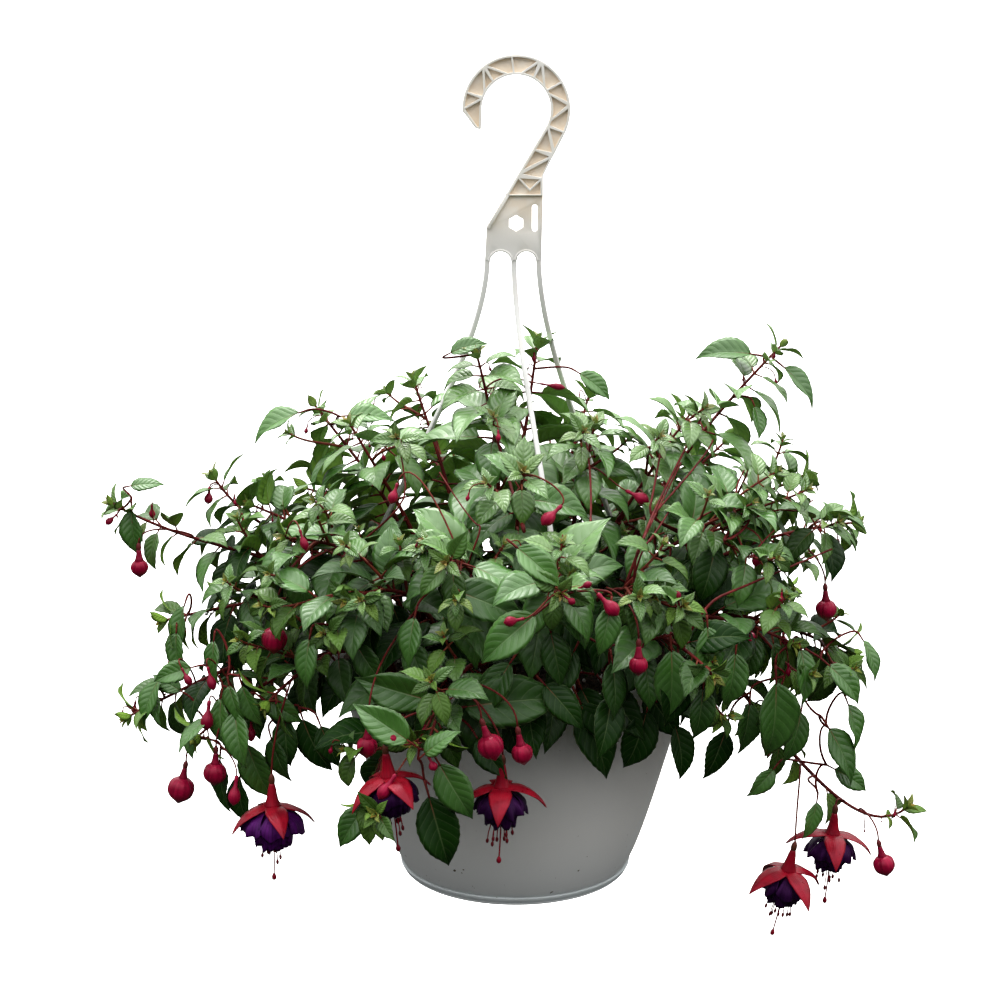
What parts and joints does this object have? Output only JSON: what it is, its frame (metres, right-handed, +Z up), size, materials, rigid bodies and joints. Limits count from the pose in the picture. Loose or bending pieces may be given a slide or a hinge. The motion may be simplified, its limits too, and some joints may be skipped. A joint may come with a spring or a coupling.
{
  "type": "fuchsia hanging basket",
  "caption": "Flowering trailing fuchsia growing in a round white plastic pot with a clip-on drip tray, carried by a one-piece plastic hanger with a hook and splayed legs.",
  "frame": {"origin": "the point at the top of the hook's inner arc, where the hook bears on whatever it hangs from", "axes": "+Z up, +Y to the back, +X to the right as seen from the front; the hook opens towards -X and lies in the XZ plane"},
  "size_m": [0.5334, 0.4546, 0.5767],
  "materials": {
    "hanger_plastic": "off-white moulded plastic, cream in the recesses",
    "pot_plastic": "off-white moulded plastic, matt, slightly soiled",
    "tray_plastic": "off-white moulded plastic, matt",
    "soil": "dark crumbly peat potting soil",
    "foliage": "green leaves with a grey-green sheen on red stems",
    "flowers": "waxy crimson sepals over dark violet petals",
    "buds": "waxy crimson-pink buds"
  },
  "bodies": {
    "root": {"bud_back": "buds", "bud_far_left": "buds", "bud_front": "buds", "bud_front_left": "buds", "bud_front_right": "buds", "bud_front_small": "buds", "bud_left_high": "buds", "bud_left_inner": "buds", "bud_left_low": "buds", "bud_right": "buds", "bud_right_low": "buds", "drip_tray": "tray_plastic", "flower_back": "flowers", "flower_front": "flowers", "flower_front_left": "flowers", "flower_left": "flowers", "flower_right": "flowers", "flower_right_low": "flowers", "hanger": "hanger_plastic", "pot": "pot_plastic", "potting_soil": "soil", "shoot_01": "foliage", "shoot_02": "foliage", "shoot_03": "foliage", "shoot_04": "foliage", "shoot_05": "foliage", "shoot_06": "foliage", "shoot_07": "foliage", "shoot_08": "foliage", "shoot_09": "foliage", "shoot_10": "foliage", "shoot_11": "foliage", "shoot_12": "foliage", "shoot_13": "foliage", "shoot_14": "foliage", "shoot_15": "foliage", "shoot_16": "foliage", "shoot_17": "foliage", "shoot_18": "foliage", "shoot_19": "foliage", "shoot_20": "foliage", "shoot_21": "foliage", "shoot_22": "foliage", "shoot_23": "foliage", "shoot_24": "foliage", "shoot_25": "foliage", "shoot_26": "foliage", "shoot_27": "foliage", "shoot_28": "foliage", "shoot_29": "foliage", "shoot_30": "foliage", "shoot_31": "foliage", "shoot_32": "foliage", "shoot_33": "foliage", "shoot_34": "foliage", "shoot_35": "foliage", "shoot_36": "foliage", "shoot_37": "foliage", "shoot_38": "foliage", "shoot_39": "foliage"}
  },
  "joints": []
}
